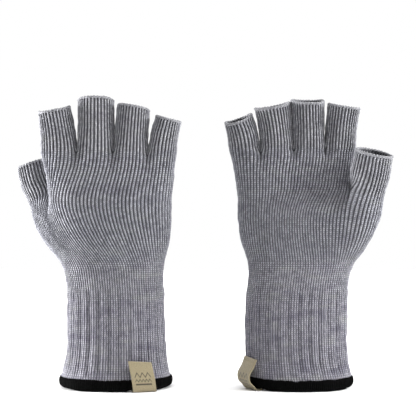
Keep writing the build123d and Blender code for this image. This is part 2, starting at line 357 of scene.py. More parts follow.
def build_cage(spec):
    """The whole glove's cage."""
    cage = Cage()
    levels = spec["levels"]
    wrist_wales = [WALES_PER_COLUMN * k for k in range(2 * WRIST_FRONT + 2 * SIDE)]
    course = 0.0

    # Cuff, wrist and the lower hand, up to the thumb's crotch
    heights = [level[0] for level in levels if level[0] <= HAND_BOTTOM]
    row = cage.add(hand_ring(levels, heights[0], WRIST_FRONT))
    for low, high in zip(heights, heights[1:]):
        upper = cage.add(hand_ring(levels, high, WRIST_FRONT))
        piece = "cuff" if high <= CUFF_TOP else "wrist"
        cage.bridge(row, upper, wrist_wales, (course, course + (high - low) / COURSE), piece)
        course += (high - low) / COURSE
        row = upper

    hand = hand_ring(levels, spec["hand_top"], HAND_FRONT, spec["thumb_shift"], spec["shift_reach"])
    thumb = thumb_ring(spec, 0.0)
    five = np.concatenate([hand[:HAND_FRONT + 1], thumb[1:13], hand[HAND_FRONT + SIDE:]])
    filled = evened(outside(five), 5, len(five) - 2)
    previous = 0.0
    for share, hollow in ((0.26, 0.0), (0.52, 0.0), (0.76, 0.12), (1.0, 1.0)):
        t = 1 - (1 - share) ** spec["flare"]
        z = HAND_BOTTOM + share * (spec["hand_top"] - HAND_BOTTOM)
        plain = hand_ring(levels, z, WRIST_FRONT)
        points = plain * (1 - t) + (filled * (1 - hollow) + five * hollow) * t
        points[:, 2] = HAND_BOTTOM + (five[:, 2] - HAND_BOTTOM) * share
        upper = cage.add(points)
        rise = (spec["hand_top"] - HAND_BOTTOM) * (share - previous) / COURSE
        previous = share
        cage.bridge(row, upper, wrist_wales, (course, course + rise), "palm")
        course += rise
        row = upper

    # Above the thumb's crotch the hand and the thumb are two tubes
    seam = cage.add(hand[HAND_FRONT + 1:HAND_FRONT + SIDE])
    thumb_row = row[HAND_FRONT:HAND_FRONT + 14] + seam[::-1]
    hand_row = row[:HAND_FRONT + 1] + seam + row[HAND_FRONT + 13:]
    thumb_wales = wrist_wales[HAND_FRONT:HAND_FRONT + 13] + [300, 302, 304]
    hand_wales = wrist_wales[:HAND_FRONT] + [200, 202, 204] + wrist_wales[HAND_FRONT + 13:]

    thumb_course = course
    length = thumb_frame(spec)[3]
    for step in range(1, STALL_ROWS + 1):
        upper = cage.add(thumb_ring(spec, step / STALL_ROWS))
        rise = length / STALL_ROWS / COURSE
        cage.bridge(thumb_row, upper, thumb_wales, (thumb_course, thumb_course + rise), "thumb")
        thumb_course += rise
        thumb_row = upper

    # The hand between the thumb's crotch and the knuckles
    knuckle = levels[-1][0]
    steps = 3
    for step in range(1, steps + 1):
        share = step / steps
        z = spec["hand_top"] + share * (knuckle - spec["hand_top"])
        shift = spec["thumb_shift"] * (1 - share) ** 1.3
        points = hand_ring(levels, z, HAND_FRONT, shift, spec["shift_reach"])
        match_splits(points, spec["splits"], smooth(share, 0.2, 1.0))
        if step == steps:
            points[:, 2] = spec["knuckle"]
            dip_crotches(points, spec)
        upper = cage.add(points)
        rise = (knuckle - spec["hand_top"]) / steps / COURSE
        cage.bridge(hand_row, upper, hand_wales, (course, course + rise), "palm")
        course += rise
        hand_row = upper

    build_fingers(cage, spec, hand_row, hand_wales, course)
    return cage


def split_columns():
    """Numbers of the knuckle row's points at the crotches: (front, back) from the little finger."""
    pairs = []
    front = 0
    back = 2 * HAND_FRONT + SIDE
    for name in ("little", "ring", "middle"):
        front += COLUMNS[name]
        back -= COLUMNS[name]
        pairs.append((front, back))
    return pairs


def match_splits(points, splits, share):
    """Slide the points along the knuckles, so that the crotches fall between the fingers."""
    pairs = split_columns()
    for side in (0, 1):
        ends = (0, HAND_FRONT) if side == 0 else (2 * HAND_FRONT + SIDE, HAND_FRONT + SIDE)
        marks = [points[n, 0] for n in [ends[0], *(pair[side] for pair in pairs), ends[1]]]
        targets = [marks[0]] + list(splits) + [marks[-1]]
        low, high = sorted(ends)
        part = points[low:high + 1, 0]
        points[low:high + 1, 0] = part + share * (np.interp(part, marks, targets) - part)


def dip_crotches(points, spec):
    """Draw the knuckle row's points at the crotches down and in."""
    for (front, back), height in zip(split_columns(), spec["crotches"]):
        for number in (front, back):
            points[number, 1] *= CROTCH_DRAWN_IN
            points[number, 2] = height - CROTCH_SINK


def build_fingers(cage, spec, row, wales, course):
    """The four finger tubes, from the knuckle row and the crotch seams between them."""
    points = np.array([cage.points[n] for n in row])
    seams = []
    for (front, back), height in zip(split_columns(), spec["crotches"]):
        one = points[front] * 2 / 3 + points[back] / 3
        two = points[front] / 3 + points[back] * 2 / 3
        one[2] = two[2] = height - CROTCH_MIDDLE
        seams.append(cage.add([one, two]))
    front = 0
    back = 2 * HAND_FRONT + SIDE
    for order, name in enumerate(("little", "ring", "middle", "index")):
        columns = COLUMNS[name]
        front_row = row[front:front + columns + 1]
        back_row = row[back - columns:back + 1]
        front_wales = wales[front:front + columns]
        back_wales = wales[back - columns:back]
        if name == "index":
            thumb_side = row[HAND_FRONT + 1:HAND_FRONT + SIDE]
        else:
            thumb_side = seams[order]
        if name == "little":
            little_side = row[2 * HAND_FRONT + SIDE + 1:]
        else:
            little_side = seams[order - 1][::-1]
        lower = front_row + thumb_side + back_row + little_side
        side_wales = [400 + 20 * order + 2 * k for k in range(2 * SIDE)]
        finger_wales = front_wales + side_wales[:SIDE] + back_wales + side_wales[SIDE:]
        finger_course = course
        length = sum(spec["fingers"][name][2]) / 2 - spec["knuckle"]
        for step in range(1, STALL_ROWS + 1):
            upper = cage.add(finger_ring(spec, name, step / STALL_ROWS))
            rise = length / STALL_ROWS / COURSE
            cage.bridge(lower, upper, finger_wales, (finger_course, finger_course + rise), name)
            finger_course += rise
            lower = upper
        front += columns
        back -= columns


# ---- from cage to fabric


def subdivided(cage, levels):
    """The smoothed cage: points, quads, knit coordinates per corner and piece per quad."""
    mesh = bpy.data.meshes.new("cage")
    mesh.from_pydata(cage.points, [], cage.faces)
    layer = mesh.uv_layers.new(name="knit")
    layer.data.foreach_set("uv", np.array(cage.knit, np.float32).ravel())
    mesh.polygons.foreach_set("material_index", np.array(cage.piece, np.int32))
    obj = bpy.data.objects.new("cage", mesh)
    bpy.context.scene.collection.objects.link(obj)
    modifier = obj.modifiers.new("smooth", "SUBSURF")
    modifier.levels = levels
    modifier.render_levels = levels
    modifier.uv_smooth = "NONE"
    result = obj.evaluated_get(bpy.context.evaluated_depsgraph_get()).to_mesh()

    def read(items, attribute, width, kind=np.float32):
        values = np.empty(len(items) * width, kind)
        items.foreach_get(attribute, values)
        return values.reshape(-1, width)

    points = read(result.vertices, "co", 3).astype(float)
    normals = read(result.vertex_normals, "vector", 3).astype(float)
    corners = read(result.loops, "vertex_index", 1, np.int32).reshape(-1, 4)
    knit = read(result.uv_layers["knit"].data, "uv", 2).reshape(-1, 4, 2).astype(float)
    piece = read(result.polygons, "material_index", 1, np.int32).ravel()
    bpy.data.objects.remove(obj)
    bpy.data.meshes.remove(mesh)
    return points, normals, corners, knit, piece


def per_point(values, corners, count):
    """Spread a value per corner to the points, taking the last that is written."""
    out = np.zeros(count)
    out[corners.ravel()] = values.ravel()
    return out


def relief(points, wale, piece, spec):
    """How far the ribs stand out from the fabric's middle, in millimetres."""
    z = points[:, 2]
    on_cuff = 1 - smooth(z, CUFF_TOP + 2, CUFF_TOP + 9)
    on_hand = smooth(z, HAND_BOTTOM - 6, HAND_BOTTOM + 18)
    on_finger = smooth(z, spec["knuckle"] - 34, spec["knuckle"] + 2)
    thumb = piece == PIECES.index("thumb")
    on_finger = np.maximum(on_finger, np.where(thumb, 0.9, 0.0))
    height = 0.24 + 0.12 * on_hand + 0.26 * on_finger
    height = height * (1 + 0.22 * waves(points, 9.0, 5))
    valley = np.abs(2 * np.mod(wale, 1.0) - 1)
    fine = height * (1 - 2 * valley ** 1.5)
    group = np.abs(2 * np.mod(wale / 4 + 0.05 * waves(points, 14.0, 8), 1.0) - 1)
    broad = 0.62 * on_cuff * (1 - 2 * group ** 2.2) * (1 + 0.3 * waves(points, 30.0, 9))
    lumps = 0.3 * waves(points, 22.0, 11) + 0.14 * waves(points, 7.0, 12)

    # Where the fingers bend towards the palm, the fabric creases across their bases
    across = np.exp(-(((z - spec["knuckle"] + 1.5 + 0.08 * points[:, 0]) / 2.2) ** 2))
    crease = 0.8 * across * smooth(-points[:, 1], 3, 9) * (0.8 + 0.3 * waves(points, 16.0, 14))
    height = (fine + broad) * smooth(z, 8.0, 17.0) + lumps - np.where(thumb, 0.0, crease)
    return np.maximum(height, -DEEPEST)


def outer_and_inner(cage, spec):
    """The fabric's two faces: fine outside and coarser inside."""
    points, normals, corners, knit, piece = subdivided(cage, OUTER_LEVELS)
    wale = per_point(knit[:, :, 0], corners, len(points))
    owner = per_point(np.repeat(piece, 4).reshape(-1, 4), corners, len(points))
    outer = points + normals * relief(points, wale, owner, spec)[:, None]
    inner_points, inner_normals, inner_corners, inner_knit, inner_piece = subdivided(cage, INNER_LEVELS)
    inner = inner_points - inner_normals * THICKNESS
    return (
        (outer, corners, knit, piece),
        (inner, inner_corners[:, ::-1], inner_knit[:, ::-1], inner_piece),
        (points, normals, wale),
    )


def to_frame(points, origin, turn):
    """Points of a glove, in millimetres, as metres in the shared frame."""
    placed = np.array(points, float).reshape(-1, 3)
    placed = placed * np.array([turn, turn, 1.0])
    return placed * MM + np.array([origin[0], origin[1], 0.0])


def make_mesh(name, points, faces, uv=None):
    """A smooth-shaded mesh object with knit coordinates."""
    mesh = bpy.data.meshes.new(name)
    mesh.from_pydata([tuple(p) for p in points], [], [tuple(int(n) for n in f) for f in faces])
    if uv is not None:
        layer = mesh.uv_layers.new(name="knit")
        layer.data.foreach_set("uv", np.asarray(uv, np.float32).ravel())
    mesh.polygons.foreach_set("use_smooth", np.ones(len(mesh.polygons), bool))
    mesh.update()
    obj = bpy.data.objects.new(name, mesh)
    bpy.context.scene.collection.objects.link(obj)
    return obj


def cut_piece(name, number, layers, origin, turn):
    """One piece of the fabric, with its outer and inner faces."""
    all_points = []
    all_faces = []
    all_knit = []
    count = 0
    for points, corners, knit, piece in layers:
        mine = piece == number
        used, local = np.unique(corners[mine], return_inverse=True)
        all_points.append(points[used])
        all_faces.append(local.reshape(-1, 4) + count)
        all_knit.append(knit[mine])
        count += len(used)
    points = to_frame(np.concatenate(all_points), origin, turn)
    return make_mesh(name, points, np.concatenate(all_faces), np.concatenate(all_knit))


def tube(path, sizes, around, outward, closed=True):
    """A tube along a path. sizes gives its half width and half height, by point and angle."""
    path = np.asarray(path, float)
    count = len(path)
    following = np.roll(path, -1, 0) if closed else np.vstack([path[1:], 2 * path[-1] - path[-2]])
    before = np.roll(path, 1, 0) if closed else np.vstack([2 * path[0] - path[1], path[:-1]])
    along = following - before
    along /= np.linalg.norm(along, axis=1)[:, None]
    side = outward - along * np.sum(outward * along, 1)[:, None]
    side /= np.linalg.norm(side, axis=1)[:, None]
    up = np.cross(along, side)
    angle = np.linspace(0, 2 * math.pi, around, endpoint=False)
    points = (
        path[:, None]
        + side[:, None] * (sizes[0] * np.cos(angle))[:, :, None]
        + up[:, None] * (sizes[1] * np.sin(angle))[:, :, None]
    )
    faces = []
    uv = []
    for i in range(count if closed else count - 1):
        n = (i + 1) % count
        for k in range(around):
            m = (k + 1) % around
            faces.append((i * around + k, i * around + m, n * around + m, n * around + k))
            low, high = k / around, (k + 1) / around
            uv.append([(i, low), (i, high), (i + 1, high), (i + 1, low)])
    return points.reshape(-1, 3), faces, np.array(uv, float)


def boundary_loop(corners, piece, number, points, above):
    """Numbers of the points round a piece's open edge, in order. above picks the upper edge."""
    quads = corners[piece == number]
    edges = {}
    for quad in quads:
        for k in range(4):
            a, b = int(quad[k]), int(quad[(k + 1) % 4])
            if (b, a) in edges:
                del edges[(b, a)]
            else:
                edges[(a, b)] = True
    step = dict(edges.keys())
    loops = []
    while step:
        start = next(iter(step))
        loop = [start]
        following = step.pop(start)
        while following != start:
            loop.append(following)
            following = step.pop(following)
        loops.append(loop)
    loops.sort(key=lambda loop: points[loop][:, 2].mean())
    return loops[-1] if above else loops[0]


# ---- materials


def new_material(name):
    """An empty node material, its node tree and its main shader."""
    material = bpy.data.materials.new(name)
    material.use_nodes = True
    tree = material.node_tree
    return material, tree, tree.nodes["Principled BSDF"]


def maths(tree, operation, first, second=None, third=None):
    """A Math node on sockets or numbers; returns its result."""
    node = tree.nodes.new("ShaderNodeMath")
    node.operation = operation
    for socket, value in zip(node.inputs, (first, second, third)):
        if value is None:
            continue
        if isinstance(value, (int, float)):
            socket.default_value = value
        else:
            tree.links.new(value, socket)
    return node.outputs[0]


def ramp(tree, value, low, high):
    """A smooth ramp from 0 at low to 1 at high."""
    node = tree.nodes.new("ShaderNodeMapRange")
    node.interpolation_type = "SMOOTHSTEP"
    node.inputs["From Min"].default_value = low
    node.inputs["From Max"].default_value = high
    tree.links.new(value, node.inputs["Value"])
    return node.outputs["Result"]


def share_of(tree, value, low, high, most):
    """A ramp from 0 at low up to a part share at high."""
    return maths(tree, "MULTIPLY", ramp(tree, value, low, high), most)


def blend_colours(tree, share, first, second):
    """A mix of two colours, each a socket or a colour."""
    node = tree.nodes.new("ShaderNodeMix")
    node.data_type = "RGBA"
    tree.links.new(share, node.inputs["Factor"])
    for socket, value in zip((node.inputs["A"], node.inputs["B"]), (first, second)):
        if isinstance(value, tuple):
            socket.default_value = (*value, 1)
        else:
            tree.links.new(value, socket)
    return node.outputs["Result"]


def noise(tree, vector, scale, detail=2.0):
    """Noise at a vector."""
    node = tree.nodes.new("ShaderNodeTexNoise")
    node.inputs["Scale"].default_value = scale
    node.inputs["Detail"].default_value = detail
    tree.links.new(vector, node.inputs["Vector"])
    return node.outputs["Fac"]


def combined(tree, *values):
    """A vector of two or three sockets."""
    node = tree.nodes.new("ShaderNodeCombineXYZ")
    for value, socket in zip(values, node.inputs):
        tree.links.new(value, socket)
    return node.outputs[0]


def surface(tree, shader, height, strength, distance, values):
    """Bump from a height, and the shader's constant values."""
    bump = tree.nodes.new("ShaderNodeBump")
    bump.inputs["Strength"].default_value = strength
    bump.inputs["Distance"].default_value = distance
    tree.links.new(height, bump.inputs["Height"])
    tree.links.new(bump.outputs["Normal"], shader.inputs["Normal"])
    for socket, value in values.items():
        shader.inputs[socket].default_value = value


def knit_material(name, light, dark, edges, gap_shade_strength, streaks):
    """Heather knit: a V of two yarns in every stitch, dark grooves between the wales (partly dark yarn,
    partly painted shade) and painted shade in the gaps between stitches.
    """
    material, tree, shader = new_material(name)
    uv = tree.nodes.new("ShaderNodeUVMap")
    uv.uv_map = "knit"
    split = tree.nodes.new("ShaderNodeSeparateXYZ")
    tree.links.new(uv.outputs["UV"], split.inputs[0])
    wale, course = split.outputs[0], split.outputs[1]
    position = tree.nodes.new("ShaderNodeTexCoord").outputs["Object"]

    within = maths(tree, "FRACT", wale)
    centred = maths(tree, "SUBTRACT", within, 0.5)
    aside = maths(tree, "MULTIPLY", maths(tree, "ABSOLUTE", centred), 2.0)
    slanted = maths(tree, "MULTIPLY_ADD", aside, -0.75, course)
    in_stitch = maths(tree, "FRACT", slanted)
    loop = maths(tree, "SINE", maths(tree, "MULTIPLY", in_stitch, math.pi))

    # Shade by stitch: each stitch its own depth of grey, with fibres streaked across it
    half_wale = maths(tree, "FLOOR", maths(tree, "MULTIPLY", wale, 2.0))
    cell = combined(tree, half_wale, maths(tree, "FLOOR", slanted))
    random = tree.nodes.new("ShaderNodeTexWhiteNoise")
    random.noise_dimensions = "2D"
    tree.links.new(cell, random.inputs["Vector"])
    along_wale = maths(tree, "MULTIPLY", slanted, 4.0)
    fibre_place = combined(tree, maths(tree, "MULTIPLY", wale, 1.6), along_wale)
    fibres = noise(tree, fibre_place, 3.0, 3.0)
    patches = noise(tree, position, 220.0, 2.0)
    tone = maths(tree, "MULTIPLY", random.outputs["Value"], 0.34)
    tone = maths(tree, "MULTIPLY_ADD", fibres, 0.9, tone)
    tone = maths(tree, "MULTIPLY_ADD", patches, 0.35, tone)
    heather = blend_colours(tree, ramp(tree, tone, 0.45, 1.15), dark, light)

    # The yarn's own shade drifts along the courses
    scaled = ((wale, 0.07), (course, 0.16), (patches, 0.8))
    drift_place = [maths(tree, "MULTIPLY", value, scale) for value, scale in scaled]
    drift = noise(tree, combined(tree, *drift_place), 1.6, 3.0)
    warm = tuple(a * b for a, b in zip(light, (0.92, 0.95, 0.82)))
    dusk = tuple(a * b for a, b in zip(dark, (0.8, 0.76, 0.95)))
    for low, high, most, tint in ((0.53, 0.72, 0.55, warm), (0.5, 0.3, 0.6, dusk)):
        share = share_of(tree, drift, low, high, most * streaks)
        heather = blend_colours(tree, share, heather, tint)

    # Towards the groove between two wales the colour goes to near-black: partly the dark yarn deep in
    # the rib, partly painted shade of the groove. edges gives where across the wale this starts and
    # ends.
    shade = ramp(tree, aside, edges[0], edges[1])
    # Painted shade in the gaps between the stitches, scaled by the material's strength for it; the
    # stronger of this and the groove darkening is used.
    gap_shade = ramp(tree, maths(tree, "SUBTRACT", 1.0, loop), 0.05, 0.85)
    gap_shade = maths(tree, "MULTIPLY", gap_shade, gap_shade_strength)
    shade = maths(tree, "MAXIMUM", shade, gap_shade)
    colour = blend_colours(tree, shade, heather, RECESS_YARN_AND_SHADE)
    tree.links.new(colour, shader.inputs["Base Color"])

    crown = maths(tree, "SUBTRACT", 1.0, maths(tree, "MULTIPLY", aside, aside))
    bump_height = maths(tree, "MULTIPLY", loop, crown)
    bump_height = maths(tree, "MULTIPLY_ADD", fibres, 0.35, bump_height)
    surface(tree, shader, bump_height, 0.75, 0.00035, {
        "Roughness": 0.95,
        "Specular IOR Level": 0.15,
        "Sheen Weight": 0.35,
        "Sheen Roughness": 0.6,
        "Sheen Tint": (*FLUFF, 1),
    })
    return material


def thread_material(name, light, dark, sheen, gloss=0.2):
    """Twisted thread, with strands and fluff."""
    material, tree, shader = new_material(name)
    position = tree.nodes.new("ShaderNodeTexCoord").outputs["Object"]
    strands = tree.nodes.new("ShaderNodeTexWave")
    strands.inputs["Scale"].default_value = 900
    strands.inputs["Distortion"].default_value = 3.0
    strands.bands_direction = "DIAGONAL"
    tree.links.new(position, strands.inputs["Vector"])
    fluff = noise(tree, position, 2600.0, 3.0)
    fluff = maths(tree, "MULTIPLY", fluff, 0.6)
    tone = maths(tree, "MULTIPLY_ADD", strands.outputs["Fac"], 0.5, fluff)
    colour = blend_colours(tree, ramp(tree, tone, 0.2, 0.9), dark, light)
    tree.links.new(colour, shader.inputs["Base Color"])
    surface(tree, shader, tone, 0.6, 0.0002, {
        "Roughness": 0.9,
        "Specular IOR Level": gloss,
        "Sheen Weight": sheen,
    })
    return material


def label_material(name):
    """Beige damask label with a small generic pattern of peaks and a bar, woven in brown."""
    material, tree, shader = new_material(name)
    uv = tree.nodes.new("ShaderNodeUVMap")
    uv.uv_map = "knit"
    split = tree.nodes.new("ShaderNodeSeparateXYZ")
    tree.links.new(uv.outputs["UV"], split.inputs[0])
    across, along = split.outputs[0], split.outputs[1]
    warp = maths(tree, "SINE", maths(tree, "MULTIPLY", across, 2 * math.pi / 0.42))
    weft = maths(tree, "SINE", maths(tree, "MULTIPLY", along, 2 * math.pi / 0.36))
    weave = maths(tree, "MULTIPLY", warp, weft)
    threads = noise(tree, uv.outputs["UV"], 3.2, 3.0)

    def band(value, low, high, soft=0.12):
        rise = ramp(tree, value, low - soft, low + soft)
        fall = ramp(tree, value, high - soft, high + soft)
        return maths(tree, "SUBTRACT", rise, fall)

    # Peaks: a zigzag line of three points, with a smaller one below and a bar under both
    def zigzag(pitch, low, tall, thick):
        turns = maths(tree, "DIVIDE", maths(tree, "SUBTRACT", across, MOTIF_EDGE), pitch)
        phase = maths(tree, "FRACT", turns)
        peak = maths(tree, "ABSOLUTE", maths(tree, "MULTIPLY_ADD", phase, 2.0, -1.0))
        line = maths(tree, "MULTIPLY_ADD", peak, -tall, low + tall)
        apart = maths(tree, "ABSOLUTE", maths(tree, "SUBTRACT", along, line))
        return maths(tree, "SUBTRACT", 1.0, ramp(tree, apart, thick - 0.12, thick + 0.12))

    marks = zigzag(3.8, 23.6, 3.2, 0.52)
    marks = maths(tree, "MAXIMUM", marks, zigzag(2.28, 20.6, 1.7, 0.4))
    marks = maths(tree, "MAXIMUM", marks, band(along, 18.2, 19.3))
    marks = maths(tree, "MULTIPLY", marks, band(across, MOTIF_EDGE, 14.0, 0.2))
    marks = maths(tree, "MULTIPLY", marks, maths(tree, "MULTIPLY_ADD", threads, 0.5, 0.75))

    tone = maths(tree, "MULTIPLY_ADD", weave, 0.22, threads)
    shade = ramp(tree, tone, 0.2, 0.85)
    ground = blend_colours(tree, shade, (0.175, 0.143, 0.08), (0.33, 0.28, 0.172))
    marks_share = maths(tree, "MINIMUM", marks, 0.92)
    colour = blend_colours(tree, marks_share, ground, (0.028, 0.022, 0.014))
    tree.links.new(colour, shader.inputs["Base Color"])
    raised = maths(tree, "MULTIPLY_ADD", marks, 0.8, weave)
    surface(tree, shader, raised, 0.6, 0.00012, {
        "Roughness": 0.62,
        "Specular IOR Level": 0.3,
        "Sheen Weight": 0.2,
    })
    return material


# ---- pieces of one glove


def make_fabric(name, spec, materials, origin):
    """The knitted pieces, the cuff and the palm on their bodies and the rest left unattached, and the
    loops that the edges follow.
    """
    cage = build_cage(spec)
    outer, inner, bare = outer_and_inner(cage, spec)
    turn = spec["turn"]
    made = {}
    for number, piece in enumerate(PIECES):
        made[piece] = cut_piece(f"{name}_{piece}_knit", number, (outer, inner), origin, turn)

    wrist, hand = f"{name}_wrist", f"{name}_hand"
    for piece, body, look in (("cuff", wrist, "rib_knit"), ("palm", hand, "hand_knit")):
        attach(made[piece], body)
        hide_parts(f"{name}_{piece}")
        dress(made[piece], materials, look)
    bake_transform(made["wrist"])
    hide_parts(f"{name}_wrist_band")
    dress(made["wrist"], materials, "transition_knit")

    for finger in ("index", "middle", "ring", "little", "thumb"):
        obj = made[finger]
        if finger == "thumb":
            along = thumb_frame(spec)[0]
            start = np.array(spec["thumb_base"]) + along * 2.0
            end = start + along * 15.0
        else:
            start = np.array([0.0, 0.0, spec["knuckle"] + 0.8])
            end = start + np.array([0.0, 0.0, 17.0])
        start, end = to_frame([start, end], origin, turn)
        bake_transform(obj)
        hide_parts(f"{name}_{finger}_stall")
        dress(obj, materials, "finger_knit")
        make_edge(name, finger, spec, outer, bare, materials, origin)
    return outer, bare


def dress(obj, materials, look):
    """Give a piece its material."""
    obj.data.materials.clear()
    obj.data.materials.append(materials[look])


def make_edge(name, finger, spec, outer, bare, materials, origin):
    """The cast-off edge of a finger opening: a chain of stitches along its rim."""
    points, corners, knit, piece = outer
    loop = boundary_loop(corners, piece, PIECES.index(finger), bare[0], above=True)
    path = bare[0][loop]
    normals = bare[1][loop]
    count = len(path)
    wales = 2 * WALES_PER_COLUMN * (COLUMNS[finger] + SIDE)
    phase = np.arange(count) / count * wales * 2 * math.pi
    angle = np.linspace(0, 2 * math.pi, 14, endpoint=False)
    twist = np.sin(phase[:, None] + angle[None, :])
    wobble = 0.12 * waves(path, 6.0, 31)[:, None]
    radius = 1.02 * (1 + 0.2 * twist + wobble)
    middle = path - normals * 0.45 - np.array([0, 0, 0.35])
    shape, faces, uv = tube(middle, (radius, radius * 0.95), 14, normals)
    uv[:, :, 0] *= wales / count
    uv[:, :, 1] *= 4.0
    obj = make_mesh(f"{name}_{finger}_edge", to_frame(shape, origin, spec["turn"]), faces, uv)
    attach(obj, f"{name}_{finger}")
    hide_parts(f"{name}_{finger}_welt")
    dress(obj, materials, "cast_off_edge")


def make_hem(name, spec, outer, bare, materials, origin):
    """Black overlock: slanting threads wrapped round the cuff's lower edge."""
    loop = boundary_loop(outer[1], outer[3], PIECES.index("cuff"), bare[0], above=False)[::-1]
    path = bare[0][loop]
    normals = bare[1][loop]
    normals[:, 2] = 0
    steps = np.linalg.norm(np.roll(path, -1, 0) - path, axis=1)
    along = np.concatenate([[0], np.cumsum(steps)[:-1]])
    around = 22
    angle = np.linspace(0, 2 * math.pi, around, endpoint=False)
    threads = round(along[-1] / 1.45)
    phase = along / along[-1] * threads * 2 * math.pi
    slant = np.sin(phase[:, None] + 1.3 * np.sin(angle)[None, :])
    uneven = 0.1 * waves(path, 9.0, 41)[:, None] + 0.06 * waves(path, 3.0, 42)[:, None]
    middle = path.copy()
    middle[:, 2] = HEM_HEIGHT / 2 + 0.1
    width = 1.38 * (1 + 0.12 * slant + uneven)
    height = (HEM_HEIGHT / 2 - 0.1) * (1 + 0.045 * slant + 0.3 * uneven)
    shape, faces, uv = tube(middle - normals * 0.55, (width, height), around, normals)
    shape = shape.reshape(len(path), around, 3)

    # The hem rises a little at the sides of the wrist, and over the label's fold
    side = (path[:, 0] - (path[:, 0].min() + path[:, 0].max()) / 2) / (np.ptp(path[:, 0]) / 2)
    foot, _, across = label_axes(spec)
    beside = np.abs((path[:, :2] - foot) @ across)
    near = np.linalg.norm(path[:, :2] - foot, axis=1) < 30
    over_label = np.where(near, 1 - smooth(beside, 9.5, 12.5), 0)
    lift = np.maximum(2.0 * np.abs(side) ** 5, 1.05 * over_label)[:, None]
    shape[:, :, 2] += lift * np.clip(1 - shape[:, :, 2] / HEM_HEIGHT, 0, 1)
    shape = shape.reshape(-1, 3)
    shape[:, 2] = np.maximum(shape[:, 2], 0.0)
    uv[:, :, 0] *= threads / len(path)
    obj = make_mesh(f"{name}_hem_overlock", to_frame(shape, origin, spec["turn"]), faces, uv)
    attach(obj, f"{name}_wrist")
    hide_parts(f"{name}_hem")
    dress(obj, materials, "black_overlock")


def make_elastic(name, spec, materials, origin):
    """Covered rubber yarns that lie inside the cuff, one above the other."""
    middle = np.array([(spec["levels"][0][1] + spec["levels"][0][2]) / 2, 0.0, 0.0])
    shapes, faces, maps = [], [], []
    for number in range(ELASTIC_COUNT):
        path = hand_ring(spec["levels"], ELASTIC_FIRST + number * ELASTIC_PITCH, 5 * WRIST_FRONT)
        along = np.roll(path, -1, 0) - np.roll(path, 1, 0)
        normals = np.column_stack([along[:, 1], -along[:, 0], np.zeros(len(path))])
        normals /= np.linalg.norm(normals, axis=1)[:, None]
        normals *= np.sign(np.sum((path - middle) * normals, 1)).mean()
        path = path - normals * (THICKNESS + ELASTIC_AIR)
        wraps = np.arange(len(path))[:, None] * 1.3 + np.linspace(0, 2 * math.pi, 8, endpoint=False)
        radius = ELASTIC_RADIUS * (1 + 0.12 * np.sin(wraps))
        shape, rim, uv = tube(path, (radius, radius), 8, normals)
        faces += [tuple(index + number * len(shape) for index in face) for face in rim]
        shapes.append(shape)
        maps.append(uv)
    obj = make_mesh(
        f"{name}_cuff_yarns",
        to_frame(np.vstack(shapes), origin, spec["turn"]),
        faces,
        np.concatenate(maps),
    )
    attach(obj, f"{name}_wrist")
    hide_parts(f"{name}_cuff_elastic")
    dress(obj, materials, "elastic_yarn")


def label_axes(spec):
    """The label's foot on the hem, and the directions outwards and across, in the plane."""
    little, thumb, depth = HEM_OUTLINES[spec["turn"]]
    corner = 0.94 * depth / 2
    angle = math.radians(spec["label"]["turn"])
    outward = np.array([-math.sin(angle), math.cos(angle)])
    centre = np.array([little + corner, math.copysign(depth / 2 - corner, outward[1])])
    return centre + outward * (corner + 0.9), outward, np.array([outward[1], -outward[0]])


def smooth_path(points, count):
    """A smooth path through points, at equal steps."""
    points = np.asarray(points, float)
    ends = np.vstack([2 * points[0] - points[1], points, 2 * points[-1] - points[-2]])
    fine = []
    for k in range(1, len(ends) - 2):
        a, b, c, d = ends[k - 1:k + 3]
        t = np.linspace(0, 1, 40, endpoint=False)[:, None]
        curve = 2 * b + (c - a) * t
        curve = curve + (2 * a - 5 * b + 4 * c - d) * t ** 2 + (3 * b - a - 3 * c + d) * t ** 3
        fine.append(0.5 * curve)
    fine = np.vstack(fine + [points[-1:]])
    along = np.concatenate([[0], np.cumsum(np.linalg.norm(np.diff(fine, axis=0), axis=1))])
    place = np.linspace(0, along[-1], count)
    return np.column_stack([np.interp(place, along, axis) for axis in fine.T]), along[-1]


def label_surface(spec):
    """The label's middle surface as a grid: its points, its outward directions and its length."""
    leaf = spec["label"]["leaf"]
    route = [(-5.8, 9.0), (-5.9, 4.2), (-5.2, 1.2), (-3.2, 0.4), (-0.9, 0.45), (0.35, 1.2)] + leaf
    path, length = smooth_path(route, LABEL_ROWS)
    direction = np.gradient(path, axis=0)
    direction /= np.linalg.norm(direction, axis=1)[:, None]
    foot, outward, across = label_axes(spec)
    width = np.linspace(-LABEL_WIDTH / 2, LABEL_WIDTH / 2, LABEL_COLUMNS)
    low, high = spec["label"]["slide"]
    slide = low + (high - low) * np.clip(path[:, 1] / 21, 0, 1)
    slide[:20] = slide[20]
    curl = 0.35 * (2 * width / LABEL_WIDTH) ** 2
    points = np.zeros((len(path), len(width), 3))
    facing = np.zeros_like(points)
    for j, offset in enumerate(width):
        rise = smooth(path[:, 1], 10, 20) * curl[j]
        wave = 0.12 * np.sin(path[:, 1] * 0.5 + offset * 0.3)
        out = path[:, 0] - rise + wave * smooth(path[:, 1], 4, 10)
        plane = foot + np.outer(out, outward) + np.outer(offset + slide, across)
        points[:, j, :2] = plane
        points[:, j, 2] = path[:, 1] + 0.08 * offset * smooth(path[:, 1], 12, 21)
        facing[:, j, :2] = np.outer(direction[:, 1], outward)
        facing[:, j, 2] = -direction[:, 0]
    return points, facing, length


